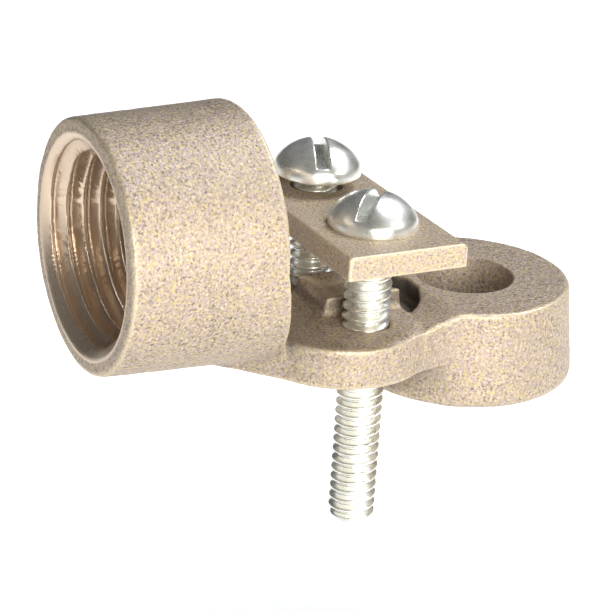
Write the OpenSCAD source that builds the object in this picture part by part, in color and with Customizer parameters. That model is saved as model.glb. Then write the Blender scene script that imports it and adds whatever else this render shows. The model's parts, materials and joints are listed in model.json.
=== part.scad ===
// Grounding fitting: a cast bronze body with a threaded conduit hub at one end and a bolt-on
// lug at the other, and a flat bar that two slotted screws draw down onto the ground wire.
// Millimetres. The origin is on the axis of the lug's bolt hole, in the lug's underside.
// The hub's axis runs along X, and its mouth faces -X. +Z is up, along the screws.

/* [Conduit hub] */
// Height of the hub's axis above the lug's underside
hub_axis_z = 18.4; // [17.5:0.1:20]
// Distance from the bolt hole's axis to the hub's rear rim
hub_rear = 27.3; // [26.5:0.1:29]
// Length of the hub
hub_len = 16.1; // [15:0.1:20]
// Outer radius at the hub's mouth
hub_mouth_r = 12.65; // [12.3:0.05:14]
// Outer radius at the hub's rear rim
hub_rear_r = 13.15; // [12.8:0.05:14.5]
// Radius at the crests of the hub's 1/2-14 NPT thread, at the mouth
hub_thread_r = 9.16; // [9:0.01:9.4]
// Depth from the mouth to the stop that the conduit's end meets
hub_depth = 12.6; // [11:0.1:13]
// Radius of the throat through the stop, where the wire comes out
throat_r = 7.9; // [6:0.1:8]
// Radius of the lead-in at the mouth
lead_r = 10.9; // [10:0.1:11.2]
// Depth of the lead-in
lead_depth = 1.5; // [0.8:0.1:2]

/* [Floor and lug] */
// Height of the floor's top face
floor_top = 9.1; // [8.8:0.1:9.6]
// Thickness of the floor
floor_t = 4.5; // [3.5:0.1:5]
// Radius of the round bulge of the floor beside each screw
bulge_r = 9.2; // [8.9:0.1:9.5]
// Distance of each bulge's centre from the lug's axis, along the hub
bulge_x = 16.4; // [16:0.1:17]
// Distance of each bulge's centre from the middle plane
bulge_y = 3.1; // [3:0.1:3.6]
// Radius of the hollow between a bulge and the lug
waist_r = 9.0; // [7:0.1:11]
// Height of the lug
lug_h = 10.3; // [10:0.1:12]
// Radius of the lug at its top
lug_top_r = 11.2; // [11:0.1:11.8]
// Radius of the lug at its underside
lug_foot_r = 12.2; // [11.9:0.1:13]
// Radius of the lug's bolt hole, for a 3/8 in bolt
lug_hole_r = 5.16; // [4.2:0.01:5.6]
// Rounding of the lug's lower edge
lug_round = 1.0; // [0.4:0.1:1.5]

/* [Wire saddle] */
// Length of the saddle along the wire
saddle_l = 9.3; // [8:0.1:9.5]
// Width of the saddle between the screws
saddle_w = 6.9; // [6:0.1:7.2]
// Height of the saddle's crown
saddle_top = 13.2; // [12:0.1:14]
// Radius of the shallow trough along the crown that the wire lies in
trough_r = 6.0; // [5:0.1:9]
// Depth of that trough
trough_depth = 0.6; // [0.3:0.1:0.8]

/* [Clamp bar] */
// Width of the bar, along the wire
bar_w = 13.1; // [12:0.1:14]
// Length of the bar, across the wire
bar_l = 27.6; // [26:0.1:29]
// Thickness of the bar
bar_t = 2.5; // [2:0.1:3]
// Height of the bar's underside as drawn
bar_z = 17.3; // [14:0.1:22]
// Rounding of the bar's upper end edge, left by the blanking die
bar_round = 0.6; // [0.3:0.1:1]
// Radius of the bar's two screw holes
bar_hole_r = 2.75; // [2.6:0.05:3]

/* [Screws] */
// Distance of the screws from the lug's axis, along the hub
screw_x = 15.0; // [14.8:0.1:15.2]
// Distance between the two screws, across the wire
screw_gap = 12.3; // [12.2:0.1:13]
// Major radius of the #10-24 thread
screw_r = 2.40; // [2.38:0.01:2.41]
// Minor radius of the thread
screw_core_r = 1.77; // [1.7:0.01:1.85]
// Pitch of the thread
pitch = 1.0583; // [1.0583]
// Length of the front screw under its head
front_len = 32.6; // [31.75:0.05:35]
// Length of the rear screw under its head
rear_len = 19.05; // [19.05, 22.225]
// How far the rear screw is backed off, between its head and the bar
rear_slack = 1.4; // [0:0.1:1.6]
// Radius of a screw head
head_r = 4.55; // [4.3:0.05:4.55]
// Height of a screw head
head_h = 3.5; // [3.1:0.1:3.5]
// Width of a head's slot
slot_w = 1.3; // [1.27:0.01:1.5]
// Depth of a head's slot
slot_depth = 1.9; // [1.6:0.1:2.1]
// Direction of the front screw's slot, in degrees from the hub's axis
front_slot = 44; // [0:1:180]
// Direction of the rear screw's slot, in degrees from the hub's axis
rear_slot = 71; // [0:1:180]

/* [Hidden] */
$fn = 96;
cut = 0.01;                          // how far a cutter passes through a face
hub_mouth = -hub_rear - hub_len;     // X of the hub's mouth
floor_bottom = floor_top - floor_t;
screw_y = screw_gap / 2;
tapped_r = screw_r + 0.05;           // tapped hole: the major radius and a running clearance
pad_r = 5.4;                         // round pad that each screw passes through
pad_h = 0.2;                         // height of that pad above the floor
ramp_l = 4.2;                        // length of the rise from the floor to the lug's top
ramp_x = -lug_top_r + 0.9;           // X at which the rise begins
hub_rim = 0.3;                       // chamfer around the hub's mouth
lug_break = 0.3;                     // broken edge at the top of the bolt hole
hub_skirt_x = -hub_rear - 3;         // X and Y at which the floor runs out under the hub
hub_skirt_y = 1.2;
skirt_join = [-bulge_x - 8, -bulge_y - 4.5];  // where that skirt leaves the bulge
hub_lean = 0.19;                     // how the rear rim leans out below the hub's axis
lean_low = floor_bottom + 0.5;       // height at which the leaning part ends in the floor
pocket_floor = 7.9;                  // height of the pocket's floor, between saddle and lug
pocket_edge = [[-9.3, 0], [-9.3, -5.4], [-7.5, -3.7], [-6.3, -1.2], [-6.3, 0]];
throat_past = 3;                     // how far the throat's cutter passes the rear rim
skirt_wall = 2;                      // wall of the hub that the floor's skirt stays clear of
skirt_stop = 1;                      // and how far short of the rear rim that clearing ends
saddle_x = -screw_x + 1.15 - saddle_l / 2;  // X of the saddle's end towards the hub
saddle_draft = [0.6, 0.4];           // how far its two ends lean in
saddle_drop = 1.4;                   // how far the crown slopes down towards the hub
saddle_slope = 3.5;                  // length of that slope
head_edge = 0.8;                     // upright rim of a screw head, below its dome
tip_chamfer = 0.6;                   // chamfer at a screw's end
thread_flat = pitch / 8;             // flat at a crest and at a root
thread_flank = pitch / 2 - thread_flat;

// Centre of the hollow that touches a bulge and the lug from outside.
bulge_c = [-bulge_x, -bulge_y];
reach_b = bulge_r + waist_r;
reach_l = lug_top_r + waist_r;
gap_bl = norm(bulge_c);
along = (reach_l * reach_l - reach_b * reach_b + gap_bl * gap_bl) / (2 * gap_bl);
aside = sqrt(reach_l * reach_l - along * along);
waist_c = along * bulge_c / gap_bl + aside * [-bulge_c[1], bulge_c[0]] / gap_bl;

// Both sides of the middle plane.
module both_sides() {
    children();
    mirror([0, 1, 0]) children();
}

// A child drawn in X and Z, made thick along Y about the middle plane.
module across(width) {
    translate([0, width / 2, 0]) rotate([90, 0, 0]) linear_extrude(width) children();
}

// Outline of the floor with its bulges, hollows and lug, from above.
module floor_outline() {
    circle(r = lug_top_r);
    both_sides() {
        translate(bulge_c) circle(r = bulge_r);
        difference() {
            polygon([bulge_c, waist_c, [0, 0], [-bulge_x, 0]]);
            translate(waist_c) circle(r = waist_r);
        }
        polygon([[hub_skirt_x, 0], [hub_skirt_x, -hub_skirt_y],
                 skirt_join, bulge_c, [-bulge_x, 0]]);
    }
}

// The floor, and its rise to the lug's top.
module floor_plate() {
    translate([0, 0, floor_bottom]) linear_extrude(floor_t) floor_outline();
    intersection() {
        translate([0, 0, floor_bottom]) linear_extrude(lug_h - floor_bottom) floor_outline();
        across(3 * lug_foot_r) polygon([
            [ramp_x, floor_bottom], [ramp_x, floor_top], [ramp_x + ramp_l, lug_h],
            [0, lug_h], [0, floor_bottom]]);
    }
    both_sides() translate([-screw_x, -screw_y, floor_bottom])
        cylinder(r = pad_r, h = floor_t + pad_h);
}

// The thick round lug, with a little draft and a rounded foot.
module lug() {
    rotate_extrude() {
        polygon([[0, 0], [lug_foot_r - lug_round, 0], [lug_foot_r, lug_round],
                 [lug_top_r, lug_h], [0, lug_h]]);
        translate([lug_foot_r - lug_round, lug_round]) circle(r = lug_round);
    }
}

// The hub's outside, turned about its own axis from the mouth to the rear rim.
module hub_outside() {
    translate([hub_mouth, 0, hub_axis_z]) rotate([0, 90, 0]) rotate_extrude()
        polygon([[0, 0], [hub_mouth_r - hub_rim, 0], [hub_mouth_r, hub_rim],
                 [hub_rear_r, hub_len], [0, hub_len]]);
}

// The lower half of the hub's rear end, which leans out to meet the floor.
module hub_lean_out() {
    intersection() {
        translate([-hub_rear - 1, 0, hub_axis_z]) rotate([0, 90, 0])
            cylinder(r = hub_rear_r, h = hub_len / 2);
        across(2 * hub_rear_r) polygon([
            [-hub_rear - 1, hub_axis_z], [-hub_rear, hub_axis_z],
            [-hub_rear + hub_lean * (hub_axis_z - lean_low), lean_low],
            [-hub_rear - 1, lean_low]]);
    }
}

// The shallow pocket in the floor between the saddle and the lug.
module pocket() {
    translate([0, 0, pocket_floor]) linear_extrude(lug_h) both_sides()
        polygon(pocket_edge);
}

// The hub's bore: lead-in, threaded length, stop and throat.
module hub_bore() {
    translate([hub_mouth, 0, hub_axis_z]) rotate([0, 90, 0]) {
        translate([0, 0, -cut]) cylinder(r = hub_thread_r, h = hub_depth + cut);
        translate([0, 0, -cut]) cylinder(r1 = lead_r, r2 = hub_thread_r, h = lead_depth);
        cylinder(r = throat_r, h = hub_len + throat_past);
    }
}

// The raised saddle under the wire. Its end towards the hub slopes, to lead the wire up.
module saddle() {
    difference() {
        across(saddle_w) polygon([
            [saddle_x, floor_bottom], [saddle_x, floor_top],
            [saddle_x + saddle_draft[0], saddle_top - saddle_drop],
            [saddle_x + saddle_draft[0] + saddle_slope, saddle_top],
            [saddle_x + saddle_l - saddle_draft[1], saddle_top],
            [saddle_x + saddle_l, floor_top], [saddle_x + saddle_l, floor_bottom]]);
        translate([saddle_x - 1, 0, saddle_top + trough_r - trough_depth]) rotate([0, 90, 0])
            cylinder(r = trough_r, h = saddle_l + 2);
    }
}

module body() {
    color([0.72, 0.61, 0.46]) difference() {
        union() {
            hub_outside();
            hub_lean_out();
            difference() {
                floor_plate();
                translate([hub_mouth, 0, hub_axis_z]) rotate([0, 90, 0])
                    cylinder(r = hub_thread_r + skirt_wall, h = hub_len - skirt_stop);
            }
            lug();
            saddle();
        }
        pocket();
        hub_bore();
        translate([0, 0, -cut]) cylinder(r = lug_hole_r, h = lug_h + 2 * cut);
        translate([0, 0, lug_h - lug_break])
            cylinder(r1 = lug_hole_r, r2 = lug_hole_r + lug_break + cut, h = lug_break + cut);
        both_sides() translate([-screw_x, -screw_y, floor_bottom - cut])
            cylinder(r = tapped_r, h = floor_t + pad_h + 2 * cut);
    }
}

// The bar: blanked plate, its two upper end edges rolled over by the die.
module clamp_bar() {
    color([0.70, 0.58, 0.42]) translate([-screw_x, 0, bar_z]) difference() {
        across(bar_l) {
            translate([-bar_w / 2, 0]) square([bar_w, bar_t - bar_round]);
            translate([-bar_w / 2, 0]) square([bar_w - bar_round, bar_t]);
            translate([bar_w / 2 - bar_round, bar_t - bar_round]) circle(r = bar_round);
        }
        both_sides() translate([0, -screw_y, -cut]) cylinder(r = bar_hole_r, h = bar_t + 2 * cut);
    }
}

// Outline of one thread turn at height z: root, flank, crest, flank.
function thread_turn(z) = [
    [screw_core_r, z], [screw_core_r, z + thread_flat],
    [screw_r, z + thread_flat + thread_flank], [screw_r, z + 2 * thread_flat + thread_flank]];

// A slotted round-head screw, its underside at z = 0 and its thread drawn as rings.
module round_head_screw(len, slot_angle) {
    turns = floor((len - tip_chamfer) / pitch) - 1;
    dome_h = head_h - head_edge;
    dome_r = (head_r * head_r + dome_h * dome_h) / (2 * dome_h);
    thread = [for (i = [0:turns]) for (p = thread_turn(-len + tip_chamfer + i * pitch)) p];
    difference() {
        rotate_extrude() {
            polygon(concat([[0, 0], [0, -len], [screw_core_r - tip_chamfer / 2, -len]], thread,
                           [[screw_core_r, -pitch / 2], [screw_core_r, 0]]));
            square([head_r, head_edge]);
            intersection() {
                translate([0, head_h - dome_r]) circle(r = dome_r);
                square([head_r, head_h]);
            }
        }
        rotate(slot_angle) translate([-head_r - 1, -slot_w / 2, head_h - slot_depth])
            cube([2 * head_r + 2, slot_w, slot_depth + 1]);
    }
}

module front_screw() {
    color([0.80, 0.81, 0.80]) translate([-screw_x, -screw_y, bar_z + bar_t])
        round_head_screw(front_len, front_slot);
}

module rear_screw() {
    color([0.80, 0.81, 0.80]) translate([-screw_x, screw_y, bar_z + bar_t + rear_slack])
        round_head_screw(rear_len, rear_slot);
}

body();
clamp_bar();
front_screw();
rear_screw();
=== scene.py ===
import json
from math import cos, hypot, radians, sin, tau

import bpy
import numpy as np
from mathutils import Matrix, Vector


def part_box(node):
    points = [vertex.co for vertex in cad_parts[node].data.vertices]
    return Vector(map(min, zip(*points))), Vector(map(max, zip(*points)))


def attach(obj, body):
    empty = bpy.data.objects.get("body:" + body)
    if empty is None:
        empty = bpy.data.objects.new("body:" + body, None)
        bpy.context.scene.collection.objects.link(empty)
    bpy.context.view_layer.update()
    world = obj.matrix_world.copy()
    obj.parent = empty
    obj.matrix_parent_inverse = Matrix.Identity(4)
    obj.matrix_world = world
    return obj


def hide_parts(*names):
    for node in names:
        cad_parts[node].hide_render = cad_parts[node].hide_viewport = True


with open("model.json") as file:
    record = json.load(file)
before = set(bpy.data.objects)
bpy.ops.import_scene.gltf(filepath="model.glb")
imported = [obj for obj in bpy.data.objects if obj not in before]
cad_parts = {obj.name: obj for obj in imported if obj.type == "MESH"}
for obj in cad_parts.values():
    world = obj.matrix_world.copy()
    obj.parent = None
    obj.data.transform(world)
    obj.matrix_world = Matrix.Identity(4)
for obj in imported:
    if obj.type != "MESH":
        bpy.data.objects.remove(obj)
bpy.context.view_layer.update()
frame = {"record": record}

# Each piece is the zero level of a distance field, so that cast blends, rolled edges and screw
# threads are true geometry. The fields and their sizes are in millimetres, in the CAD frame.
MM = 0.001


def box_mm(node):
    low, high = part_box(node)
    return np.array(low) / MM, np.array(high) / MM


def mount(name):
    return next(m for m in frame["record"]["mounts"] if m["name"] == name)


# ---------------------------------------------------------------- sizes read from the frame

body_low, body_high = box_mm("body")
bar_low, bar_high = box_mm("clamp_bar")
bar_mid = (bar_low + bar_high) / 2
hub_axis_z = mount("conduit_thread")["pos_m"][2] / MM
hub_mouth = body_low[0]
hub_rear_r = body_high[2] - hub_axis_z
lug_foot_r = body_high[0]

# ---------------------------------------------------------------- the casting's other sizes

HUB_LEN = 16.1
HUB_MOUTH_R = 12.65
HUB_DEPTH = 12.6            # from the mouth to the stop
THROAT_R = 7.9
LEAD_R, LEAD_DEPTH = 10.9, 1.5
CREST_R = 9.16              # crests of the conduit thread
THREAD_DEPTH = 1.42         # crest to root, at the mouth
THREAD_PITCH = 25.4 / 14
THREAD_TAPER = 1 / 32       # how fast the roots close in along the bore
FLOOR_TOP, FLOOR_BOTTOM = 9.1, 4.6
BULGE_R, BULGE_X, BULGE_Y = 9.2, 16.4, 3.1
WAIST_R = 9.0
SKIRT = [(-30.3, 1.2), (-24.4, 7.6)]    # where the floor runs out under the hub
HUB_LEAN = 0.19             # how the rear rim leans out below the hub's axis
HUB_LEAN_LOW = 5.1          # the lean grows no more below this height
HUB_RIM_ROUND, HUB_FILLET = 0.3, 1.1
FLOOR_ROUND = 0.4
LUG_H, LUG_TOP_R = 10.3, 11.2
LUG_HOLE_R = 5.16
FOOT_ROUND = 1.0
RAMP_X, RAMP_L = -10.3, 4.2     # where the floor's top rises to the lug's, and over what length
SADDLE_X, SADDLE_L, SADDLE_W, SADDLE_TOP = -18.5, 9.3, 6.9, 13.2
SADDLE_DROP, SADDLE_SLOPE = 1.4, 3.5    # slope of its crown towards the hub
SADDLE_DRAFT_HUB, SADDLE_DRAFT_LUG, SADDLE_FILLET = 0.6, 0.4, 0.4
TROUGH_R, TROUGH_DEPTH = 6.0, 0.6
PAD_R, PAD_H = 5.4, 0.2     # the low pad round each screw
POCKET_FLOOR = 7.9          # the pocket between the saddle and the lug
POCKET = [(-9.3, -1.0), (-6.3, -1.0), (-6.3, 1.2), (-7.5, 3.7), (-9.3, 5.4)]
SCREW_X, SCREW_Y = 15.0, 6.15
TAPPED_R = 2.45
TAPPED_PAST = 3.0           # how far the tapped holes' cutters pass the floor's top
BAR_HOLE_R = 2.75
THREAD_END, THREAD_FADE = 1.0, 1.2      # plain length before the stop, and turns of fading thread

CAST_STEP, BAR_STEP, SCREW_STEP = 0.2, 0.15, 0.1    # spacing of the grids' points
GRID_MARGIN = 9             # steps, more than soften's passes reach
CAST_TRIANGLES, BAR_TRIANGLES = 196000, 60000
SOFT_PASSES, WEAR_PASSES = 3, 4

# ---------------------------------------------------------------- the screws' sizes

PITCH = 1.0583
SCREW_R, CORE_R = 2.40, 1.77
HEAD_R, HEAD_H, HEAD_EDGE = 4.55, 3.5, 0.8
SLOT_W, SLOT_DEPTH = 1.3, 1.9

hub_rear = hub_mouth + HUB_LEN
FLANK = 3 ** 0.5            # rise of a 60 degree thread's flank


# ---------------------------------------------------------------- distance fields

def both(a, b, r=0.0):
    """Where both fields are solid, with the edge between them rounded to radius r."""
    if r == 0:
        return np.maximum(a, b)
    return np.minimum(np.maximum(a, b), -r) + np.hypot(np.maximum(a + r, 0), np.maximum(b + r, 0))


def either(a, b, r=0.0):
    """Where either field is solid, with a fillet of radius r between them."""
    return -both(-a, -b, r)


def minus(a, b, r=0.0):
    """Field a with b cut out of it, and the cut's edge broken to radius r."""
    return both(a, -b, r)


def convex(u, v, points):
    """A convex outline in u and v, its points given counter-clockwise."""
    field = None
    for (u0, v0), (u1, v1) in zip(points, points[1:] + points[:1]):
        long = hypot(u1 - u0, v1 - v0)
        edge = ((u - u0) * (v1 - v0) - (v - v0) * (u1 - u0)) / long
        field = edge if field is None else np.maximum(field, edge)
    return field


def grid(low, high, step):
    """Coordinates of a grid of points that passes the box by a margin all round."""
    past = GRID_MARGIN * step
    axes = [np.arange(a - past, b + past, step, dtype=np.float32) for a, b in zip(low, high)]
    return np.meshgrid(*axes, indexing="ij", sparse=True)


def soften(field, passes):
    """Rounds every edge and corner of a field alike, as a sand mould does."""
    for _ in range(passes):
        for axis in range(3):
            field = (np.roll(field, 1, axis) + 2 * field + np.roll(field, -1, axis)) / 4
    return field


def thread_radius(r_deep, r_flat, along, angle, pitch, side):
    """Radius of a helical groove's wall. side is 1 for a screw, and -1 for a tapped bore."""
    turn = (along / pitch - angle / tau) % 1.0
    away = np.maximum(np.abs(turn - 0.5) * pitch - pitch / 16, 0)
    if side > 0:
        return np.minimum(r_deep + FLANK * away, r_flat)
    return np.maximum(r_deep - FLANK * away, r_flat)


def surface(field, x, y, z):
    """Points and quads where a field crosses zero: one point in each cell that it crosses."""
    low = np.array([x.flat[0], y.flat[0], z.flat[0]])
    step = x.flat[1] - x.flat[0]
    solid = field < 0
    size = np.array(field.shape) - 1
    count = np.zeros(size, np.int8)
    corners = [(i, j, k) for i in (0, 1) for j in (0, 1) for k in (0, 1)]
    for i, j, k in corners:
        count += solid[i:size[0] + i, j:size[1] + j, k:size[2] + k]
    cells = np.argwhere((count > 0) & (count < 8))
    index = np.full(size, -1, np.int32)
    index[tuple(cells.T)] = np.arange(len(cells))
    place = np.zeros((len(cells), 3))
    crossed = np.zeros(len(cells))
    at = {c: field[tuple((cells + c).T)] for c in corners}
    for a in corners:
        for axis in range(3):
            if a[axis] == 0:
                b = tuple(v + (n == axis) for n, v in enumerate(a))
                cross = (at[a] < 0) != (at[b] < 0)
                share = at[a][cross] / (at[a][cross] - at[b][cross])
                place[cross] += a
                place[cross, axis] += share
                crossed[cross] += 1
    points = low + (cells + place / crossed[:, None]) * step
    quads = []
    for axis in range(3):
        u, v = (axis + 1) % 3, (axis + 2) % 3
        here = [slice(1, -1)] * 3
        there = list(here)
        here[axis], there[axis] = slice(0, -1), slice(1, None)
        first, last = solid[tuple(here)], solid[tuple(there)]
        for inward, out in ((first & ~last, 1), (last & ~first, -1)):
            edge = np.argwhere(inward)
            edge[:, u] += 1
            edge[:, v] += 1
            ring = []
            for du, dv in ((-1, -1), (0, -1), (0, 0), (-1, 0))[::out]:
                cell = edge.copy()
                cell[:, u] += du
                cell[:, v] += dv
                ring.append(index[tuple(cell.T)])
            quads.append(np.stack(ring, 1))
    return points, np.concatenate(quads)


def mesh_object(name, points, quads):
    mesh = bpy.data.meshes.new(name)
    mesh.vertices.add(len(points))
    mesh.vertices.foreach_set("co", (points * MM).astype(np.float32).ravel())
    mesh.loops.add(quads.size)
    mesh.loops.foreach_set("vertex_index", quads.astype(np.int32).ravel())
    mesh.polygons.add(len(quads))
    mesh.polygons.foreach_set("loop_start", np.arange(0, quads.size, 4, dtype=np.int32))
    mesh.polygons.foreach_set("use_smooth", np.ones(len(quads), bool))
    mesh.update(calc_edges=True)
    mesh.validate()
    obj = bpy.data.objects.new(name, mesh)
    bpy.context.scene.collection.objects.link(obj)
    return obj


def thin_out(obj, triangles):
    """Joins triangles where the surface is plain, down to about the number given."""
    now = sum(len(p.vertices) - 2 for p in obj.data.polygons)
    if now <= triangles:
        return
    modifier = obj.modifiers.new("thin_out", "DECIMATE")
    modifier.ratio = triangles / now
    graph = bpy.context.evaluated_depsgraph_get()
    mesh = bpy.data.meshes.new_from_object(obj.evaluated_get(graph))
    obj.modifiers.clear()
    obj.data = mesh


def sample(field, points, x, y, z):
    """The field's value at the grid point that is nearest to each of the points."""
    low = np.array([x.flat[0], y.flat[0], z.flat[0]])
    place = np.rint((points - low) / (x.flat[1] - x.flat[0])).astype(int)
    return field[tuple(place.T)]


def note(obj, name, values):
    """Stores one number at each point of the mesh, for the material to read."""
    mark = obj.data.attributes.new(name, "FLOAT", "POINT")
    mark.data.foreach_set("value", values.astype(np.float32))


def smooth_noise(points, cell, seed):
    """Noise from -1 to 1 over points, from random values on a lattice with cells of that size."""
    places = points / cell
    base = np.floor(places).astype(int)
    part = places - base
    part = part * part * (3 - 2 * part)
    base -= base.min(0)
    values = np.random.RandomState(seed).uniform(-1, 1, base.max(0) + 2)
    total = np.zeros(len(points))
    for i in (0, 1):
        for j in (0, 1):
            for k in (0, 1):
                weight = np.ones(len(points))
                for axis, side in enumerate((i, j, k)):
                    weight *= part[:, axis] if side else 1 - part[:, axis]
                total += weight * values[base[:, 0] + i, base[:, 1] + j, base[:, 2] + k]
    return total


# ---------------------------------------------------------------- the casting

def outline_field(x, y):
    """The floor seen from above: its two bulges, and the hollows that run from them to the lug."""
    y = np.abs(y)
    field = np.hypot(x + BULGE_X, y - BULGE_Y) - BULGE_R
    reach_b, reach_l = BULGE_R + WAIST_R, LUG_TOP_R + WAIST_R
    gap = hypot(BULGE_X, BULGE_Y)
    along = (reach_l ** 2 - reach_b ** 2 + gap ** 2) / (2 * gap)
    aside = (reach_l ** 2 - along ** 2) ** 0.5
    waist = ((-along * BULGE_X + aside * BULGE_Y) / gap, (along * BULGE_Y + aside * BULGE_X) / gap)
    neck = convex(x, y, [(0, 0), waist, (-BULGE_X, BULGE_Y), (-BULGE_X, 0)])
    neck = np.maximum(neck, WAIST_R - np.hypot(x - waist[0], y - waist[1]))
    (far_x, far_y), (join_x, join_y) = SKIRT
    skirt = convex(x, y, [(far_x, -1), (-BULGE_X, -1), (-BULGE_X, BULGE_Y), (join_x, join_y),
                          (far_x, far_y)])
    return np.minimum(np.minimum(field, neck), skirt)


def cast_body():
    x, y, z = grid(body_low, body_high, CAST_STEP)
    top = FLOOR_TOP + (LUG_H - FLOOR_TOP) * np.clip((x - RAMP_X) / RAMP_L, 0, 1)

    across = np.hypot(y, z - hub_axis_z)
    share = (x - hub_mouth) / HUB_LEN
    hub = across - (HUB_MOUTH_R + (hub_rear_r - HUB_MOUTH_R) * share)
    lean = HUB_LEAN * np.clip(hub_axis_z - z, 0, hub_axis_z - HUB_LEAN_LOW)
    hub = both(both(hub, x - hub_rear - lean), hub_mouth - x, HUB_RIM_ROUND)

    floor = both(both(outline_field(x, y), z - top), FLOOR_BOTTOM - z, FLOOR_ROUND)
    from_axis = np.hypot(x, y)
    draft = (lug_foot_r - LUG_TOP_R) / (LUG_H - FOOT_ROUND)
    lug = both(from_axis - lug_foot_r + draft * np.maximum(z - FOOT_ROUND, 0), -z, FOOT_ROUND)
    lug = both(lug, z - top)
    pads = np.hypot(x + SCREW_X, np.abs(y) - SCREW_Y) - PAD_R
    pads = both(both(pads, z - FLOOR_TOP - PAD_H), FLOOR_BOTTOM - z)
    floor = np.minimum(np.minimum(floor, pads), lug)

    body = either(hub, floor, HUB_FILLET)
    x0, end = SADDLE_X, SADDLE_X + SADDLE_L
    slope_x = x0 + SADDLE_DRAFT_HUB
    saddle = convex(x, z, [
        (x0, FLOOR_BOTTOM), (end, FLOOR_BOTTOM), (end, FLOOR_TOP), (end - SADDLE_DRAFT_LUG, SADDLE_TOP),
        (slope_x + SADDLE_SLOPE, SADDLE_TOP), (slope_x, SADDLE_TOP - SADDLE_DROP), (x0, FLOOR_TOP)])
    saddle = both(saddle, np.abs(y) - SADDLE_W / 2)
    saddle = minus(saddle, np.hypot(y, z - SADDLE_TOP - TROUGH_R + TROUGH_DEPTH) - TROUGH_R)
    body = either(body, saddle, SADDLE_FILLET)
    pocket = np.maximum(convex(x, np.abs(y), POCKET), POCKET_FLOOR - z)
    body = soften(minus(body, pocket, 0.15), SOFT_PASSES)
    worn = soften(body, WEAR_PASSES) - body

    # The machined bore: lead-in, tapered thread that runs out before the stop, and throat.
    deep = x - hub_mouth
    fade = np.clip((HUB_DEPTH - THREAD_END - deep) / (THREAD_FADE * THREAD_PITCH), 0, 1)
    root = CREST_R + (THREAD_DEPTH - THREAD_TAPER * deep) * fade
    angle = np.arctan2(y, z - hub_axis_z)
    wall = thread_radius(root, CREST_R, x, angle, THREAD_PITCH, -1)
    bore = np.maximum((across - wall) / 2, deep - HUB_DEPTH)
    lead = across - LEAD_R + (LEAD_R - CREST_R) / LEAD_DEPTH * np.maximum(deep, 0)
    bore = np.minimum(bore, np.maximum(lead, deep - LEAD_DEPTH))
    body = minus(body, bore, 0.1)
    body = minus(body, np.maximum(across - THROAT_R, hub_mouth - x), 0.25)
    body = minus(body, from_axis - LUG_HOLE_R, 0.3)
    tapped = np.hypot(x + SCREW_X, np.abs(y) - SCREW_Y) - TAPPED_R
    body = minus(body, np.maximum(tapped, z - FLOOR_TOP - TAPPED_PAST), 0.2)
    points, quads = surface(body, x, y, z)
    obj = mesh_object("cast_body", points, quads)
    note(obj, "edge", sample(worn, points, x, y, z))
    roughen(obj, points)
    thin_out(obj, CAST_TRIANGLES)
    return obj


def roughen(obj, points):
    """Presses the sand mould's waviness and grain into the cast faces, and notes the cut ones."""
    normals = np.zeros(len(points) * 3, np.float32)
    obj.data.vertices.foreach_get("normal", normals)
    normals = normals.reshape(-1, 3)
    across = np.hypot(points[:, 1], points[:, 2] - hub_axis_z)
    in_bore = (across < LEAD_R + 0.3) & (points[:, 0] < hub_rear + 0.2)
    in_lug = np.hypot(points[:, 0], points[:, 1]) < LUG_HOLE_R + 0.3
    in_tapped = np.hypot(points[:, 0] + SCREW_X, np.abs(points[:, 1]) - SCREW_Y) < TAPPED_R + 0.3
    cut = in_bore | in_lug | in_tapped
    relief = 0.035 * smooth_noise(points, 3.1, 1) + 0.022 * smooth_noise(points, 0.9, 2)
    relief += 0.014 * smooth_noise(points, 0.45, 3) - 0.07
    moved = points + normals * (relief * ~cut)[:, None]
    obj.data.vertices.foreach_set("co", (moved * MM).astype(np.float32).ravel())
    note(obj, "machined", in_bore | in_tapped)
    obj.data.update()


# ---------------------------------------------------------------- the bar and the screws

def clamp_bar():
    """The blanked bar: its upper end edge is rolled over, and its holes are punched from above."""
    x, y, z = grid(bar_low, bar_high, BAR_STEP)
    edge = both(x - bar_high[0], z - bar_high[2], 0.6)
    bar = both(both(edge, bar_low[0] - x, 0.15), bar_low[2] - z, 0.12)
    bar = both(bar, np.abs(y - bar_mid[1]) + bar_low[1], 0.15)
    hole = np.hypot(x - bar_mid[0], np.abs(y) - SCREW_Y) - BAR_HOLE_R
    bar = minus(bar, hole, 0.2)
    worn = soften(bar, WEAR_PASSES) - bar
    points, quads = surface(bar, x, y, z)
    obj = mesh_object("bar", points, quads)
    note(obj, "edge", sample(worn, points, x, y, z))
    thin_out(obj, BAR_TRIANGLES)
    return obj


def round_head_screw(name, node, slot_degrees):
    """A slotted round-head screw with a true helical thread."""
    low, high = box_mm(node)
    cx, cy = (low[0] + high[0]) / 2, (low[1] + high[1]) / 2
    seat = high[2] - HEAD_H
    x, y, z = grid(low, high, SCREW_STEP)
    dx, dy, up = x - cx, y - cy, z - seat
    r = np.hypot(dx, dy)
    dome_h = HEAD_H - HEAD_EDGE
    dome_r = (HEAD_R ** 2 + dome_h ** 2) / (2 * dome_h)
    head = both(np.hypot(r, up - HEAD_H + dome_r) - dome_r, r - HEAD_R, 0.3)
    head = both(head, -up, 0.1)
    a = radians(slot_degrees)
    slot = np.maximum(np.abs(dy * cos(a) - dx * sin(a)) - SLOT_W / 2, HEAD_H - SLOT_DEPTH - up)
    head = minus(head, slot, 0.14)
    wall = thread_radius(CORE_R, SCREW_R, z, np.arctan2(dy, dx), PITCH, 1)
    neck = np.clip((-up - 0.4) / PITCH, 0, 1)
    shank = (r - CORE_R - (wall - CORE_R) * neck) / 2
    tip = (r + low[2] - z - CORE_R + 0.3) * 0.7
    shank = both(both(both(shank, tip), low[2] - z, 0.1), up - HEAD_H + SLOT_DEPTH + 0.5)
    points, quads = surface(either(head, shank), x, y, z)
    return mesh_object(name, points, quads)


# ---------------------------------------------------------------- materials

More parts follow.
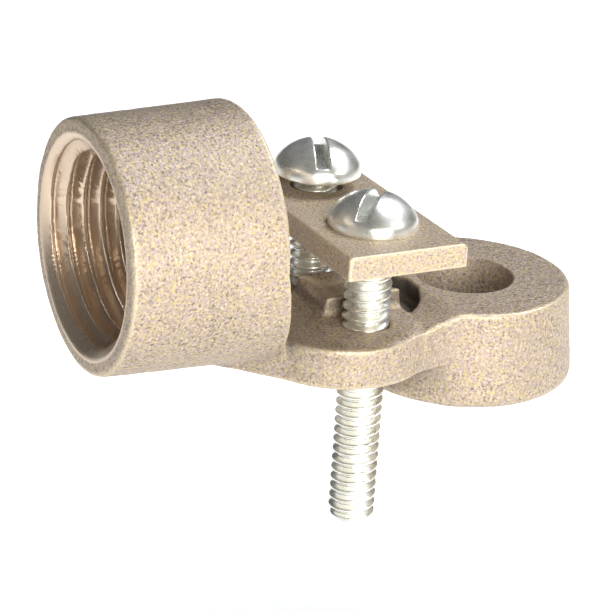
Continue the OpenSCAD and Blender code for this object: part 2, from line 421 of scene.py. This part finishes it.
class Nodes:
    """Short calls that add nodes to one material."""

    def __init__(self, name):
        self.material = bpy.data.materials.new(name)
        self.material.use_nodes = True
        self.tree = self.material.node_tree
        self.shader = self.tree.nodes["Principled BSDF"]

    def add(self, kind, **settings):
        node = self.tree.nodes.new("ShaderNode" + kind)
        for key, value in settings.items():
            setattr(node, key, value)
        return node

    def join(self, source, target):
        self.tree.links.new(source, target)

    def place(self):
        """Coordinates in millimetres, fixed to the piece."""
        where = self.add("TexCoord")
        scale = self.add("VectorMath", operation="SCALE")
        scale.inputs["Scale"].default_value = 1 / MM
        self.join(where.outputs["Object"], scale.inputs[0])
        return scale.outputs[0]

    def shift(self, where, by):
        """The same coordinates, moved by that many millimetres."""
        node = self.add("VectorMath", operation="ADD")
        node.inputs[1].default_value = (by, by, by)
        self.join(where, node.inputs[0])
        return node.outputs[0]

    def noise(self, where, size, detail=2.0, rough=0.5):
        """Noise whose features are about size millimetres across."""
        node = self.add("TexNoise")
        node.inputs["Scale"].default_value = 1 / size
        node.inputs["Detail"].default_value = detail
        node.inputs["Roughness"].default_value = rough
        self.join(where, node.inputs["Vector"])
        return node.outputs[0]

    def ramp(self, source, stops):
        node = self.add("ValToRGB")
        band = node.color_ramp
        while len(band.elements) < len(stops):
            band.elements.new(0.5)
        for element, (at, colour) in zip(band.elements, stops):
            element.position = at
            element.color = (*colour, 1)
        self.join(source, node.inputs[0])
        return node.outputs[0]

    def mix(self, share, a, b):
        node = self.add("Mix", data_type="RGBA")
        self.give(share, node.inputs[0])
        self.give(a, node.inputs[6])
        self.give(b, node.inputs[7])
        return node.outputs[2]

    def give(self, value, socket):
        """Links a node's output, or sets a plain value."""
        if hasattr(value, "links"):
            self.join(value, socket)
        elif isinstance(value, tuple):
            socket.default_value = (*value, 1)
        else:
            socket.default_value = value

    def spread(self, source, low, high, start=0.3, stop=0.7):
        """source from start to stop, stretched to run from low to high."""
        node = self.add("MapRange")
        for key, value in zip(("From Min", "From Max", "To Min", "To Max"), (start, stop, low, high)):
            node.inputs[key].default_value = value
        self.join(source, node.inputs["Value"])
        return node.outputs[0]

    def math(self, operation, a, b):
        node = self.add("Math", operation=operation)
        self.give(a, node.inputs[0])
        self.give(b, node.inputs[1])
        return node.outputs[0]

    def bump(self, height, depth, after=None):
        """Relief of that depth in millimetres."""
        node = self.add("Bump")
        node.inputs["Distance"].default_value = depth * MM
        node.inputs["Strength"].default_value = 1.0
        self.join(height, node.inputs["Height"])
        if after is not None:
            self.join(after, node.inputs["Normal"])
        return node.outputs[0]


def tumbled_bronze(name, dark, plain, lit, painted_shade_reach):
    """Dull bronze with a fine mottled grain, brighter on its edges, and darkened in its corners by
    painted shade.

    The last argument is how far, in millimetres, the painted shade of a corner spreads."""
    n = Nodes(name)
    where = n.place()
    grain = n.noise(where, 0.26, 3, 0.65)
    speck = n.noise(where, 0.36, 2, 0.5)
    tint = n.noise(n.shift(where, 50), 0.30, 2, 0.5)
    broad = n.noise(where, 5.0, 2)
    colour = n.ramp(grain, [(0.36, dark), (0.47, plain), (0.54, plain), (0.64, lit)])
    colour = n.mix(n.spread(speck, 0, 0.6, 0.50, 0.64), colour, (0.48, 0.36, 0.40))
    colour = n.mix(n.spread(tint, 0, 0.6, 0.52, 0.66), colour, (0.60, 0.48, 0.17))
    colour = n.mix(n.spread(broad, 0, 0.25, 0.4, 0.7), colour, (0.50, 0.41, 0.31))
    edge = n.add("Attribute", attribute_name="edge").outputs["Fac"]
    colour = n.mix(n.spread(edge, 0, 0.45, 0.03, 0.08), colour, (0.84, 0.71, 0.48))
    # Painted shade: ambient occlusion mixes the colour towards near black in corners and recesses,
    # within the last argument's distance.
    painted_shade_occlusion = n.add("AmbientOcclusion", samples=8, only_local=True)
    painted_shade_occlusion.inputs["Distance"].default_value = painted_shade_reach * MM
    shade = n.spread(painted_shade_occlusion.outputs["AO"], 0.0, 1.0, 0.30, 0.94)
    colour = n.mix(shade, (0.09, 0.08, 0.07), colour)
    cut = n.add("Attribute", attribute_name="machined").outputs["Fac"]
    height = n.math("MULTIPLY", grain, n.spread(cut, 1, 0.1, 0, 1))
    pits = n.math("MULTIPLY", speck, n.spread(cut, 1, 0.1, 0, 1))
    n.join(n.mix(cut, colour, (0.62, 0.50, 0.38)), n.shader.inputs["Base Color"])
    rough = n.spread(grain, 0.48, 0.66)
    rough = n.math("SUBTRACT", rough, n.spread(edge, 0, 0.12, 0.025, 0.07))
    rough = n.math("SUBTRACT", rough, n.spread(cut, 0, 0.22, 0, 1))
    n.join(rough, n.shader.inputs["Roughness"])
    n.join(n.bump(height, 0.05, n.bump(pits, 0.04)), n.shader.inputs["Normal"])
    n.join(n.spread(cut, 0.5, 0.85, 0, 1), n.shader.inputs["Metallic"])
    return n.material


def cast_bronze():
    dark, plain, lit = (0.12, 0.10, 0.09), (0.37, 0.305, 0.235), (0.66, 0.55, 0.41)
    return tumbled_bronze("cast_bronze", dark, plain, lit, 8)


def rolled_bronze():
    dark, plain, lit = (0.19, 0.155, 0.125), (0.46, 0.375, 0.275), (0.74, 0.61, 0.43)
    return tumbled_bronze("rolled_bronze", dark, plain, lit, 3)


def plated_steel():
    """Bright plating, a little cloudy."""
    n = Nodes("plated_steel")
    where = n.place()
    cloud = n.noise(where, 1.8, 3)
    fine = n.noise(where, 0.25, 2)
    colour = n.ramp(cloud, [(0.35, (0.78, 0.78, 0.70)), (0.65, (0.93, 0.93, 0.88))])
    n.join(colour, n.shader.inputs["Base Color"])
    n.join(n.spread(cloud, 0.22, 0.36), n.shader.inputs["Roughness"])
    n.join(n.bump(fine, 0.006), n.shader.inputs["Normal"])
    n.shader.inputs["Metallic"].default_value = 0.85
    return n.material


def glowing_paper():
    """White paper with painted light: it glows away from the fitting, so that it is white behind it."""
    n = Nodes("glowing_paper")
    where = n.place()
    fibre = n.noise(where, 3.0, 4)
    n.join(n.ramp(fibre, [(0.3, (0.93, 0.93, 0.93)), (0.7, (0.96, 0.96, 0.96))]),
           n.shader.inputs["Base Color"])
    n.shader.inputs["Roughness"].default_value = 0.9
    n.shader.inputs["Emission Color"].default_value = (1, 1, 1, 1)
    # Painted light: the paper's glow starts 95 mm from the fitting and is full by 140 mm.
    away = n.add("VectorMath", operation="LENGTH")
    n.join(where, away.inputs[0])
    n.join(n.spread(away.outputs["Value"], 0.0, 0.74, 95, 140), n.shader.inputs["Emission Strength"])
    return n.material


# ---------------------------------------------------------------- floor, light and camera

def pale_floor():
    """A sheet of pale paper, well below the fitting."""
    half, height = 4.0, -0.07
    mesh = bpy.data.meshes.new("paper")
    mesh.from_pydata([(-half, -half, height), (half, -half, height), (half, half, height),
                      (-half, half, height)], [], [(0, 1, 2, 3)])
    floor = bpy.data.objects.new("paper", mesh)
    bpy.context.scene.collection.objects.link(floor)
    floor.data.materials.append(glowing_paper())


def soft_light(name, place, size, watts, colour):
    """A rectangular softbox that faces the fitting."""
    data = bpy.data.lights.new(name, "AREA")
    data.shape = "RECTANGLE"
    data.size, data.size_y = size
    data.energy = watts
    data.color = colour
    light = bpy.data.objects.new(name, data)
    light.location = place
    towards = Vector((-0.015, 0, 0.015)) - light.location
    light.rotation_euler = towards.to_track_quat("-Z", "Y").to_euler()
    bpy.context.scene.collection.objects.link(light)


def studio():
    """A low key light in front, a small one to the right, a cool one above, and a dim room."""
    soft_light("key", (-0.07, -0.43, 0.15), (0.26, 0.16), 2.35, (1.0, 0.97, 0.93))
    soft_light("front_right", (0.26, -0.27, 0.26), (0.10, 0.10), 0.38, (1.0, 0.98, 0.95))
    soft_light("top", (0.22, 0.02, 0.38), (0.20, 0.20), 1.65, (0.88, 0.92, 1.0))
    world = bpy.data.worlds.new("room")
    world.use_nodes = True
    world.node_tree.nodes["Background"].inputs["Color"].default_value = (0.97, 0.98, 1.0, 1)
    world.node_tree.nodes["Background"].inputs["Strength"].default_value = 0.10
    bpy.context.scene.world = world
    bpy.context.scene.view_settings.view_transform = "Standard"


def camera():
    """The camera looks down and along the hub from its mouth's side, a little rolled."""
    azimuth, elevation, roll = radians(28.39), radians(22.59), radians(3.87)
    distance, aim_right, aim_down = 237.4, 7.2, 7.55
    ahead = Vector((sin(azimuth) * cos(elevation), cos(azimuth) * cos(elevation), -sin(elevation)))
    level = Vector((cos(azimuth), -sin(azimuth), 0))
    upright = level.cross(ahead)
    right = cos(roll) * level + sin(roll) * upright
    up = cos(roll) * upright - sin(roll) * level
    aim = Vector((hub_rear, 0, hub_axis_z)) + aim_right * right - aim_down * up
    data = bpy.data.cameras.new("camera")
    data.sensor_width, data.lens = 36, 141.2
    data.clip_start, data.clip_end = 0.01, 20
    cam = bpy.data.objects.new("camera", data)
    turn = Matrix((right, up, -ahead)).transposed()
    cam.matrix_world = Matrix.Translation((aim - distance * ahead) * MM) @ turn.to_4x4()
    bpy.context.scene.collection.objects.link(cam)
    bpy.context.scene.camera = cam


# ---------------------------------------------------------------- the fitting

def finish_piece(obj, body, node, material):
    obj.data.materials.append(material)
    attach(obj, body)
    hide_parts(node)


camera()
pale_floor()
studio()
steel = plated_steel()
finish_piece(cast_body(), "fitting", "body", cast_bronze())
finish_piece(clamp_bar(), "bar", "clamp_bar", rolled_bronze())
for name, node, slot_degrees, body in (
        ("long_round_head_screw", "front_screw", 44, "long_screw"),
        ("short_round_head_screw", "rear_screw", 71, "short_screw")):
    screw = round_head_screw(name, node, slot_degrees)
    finish_piece(screw, body, node, steel)
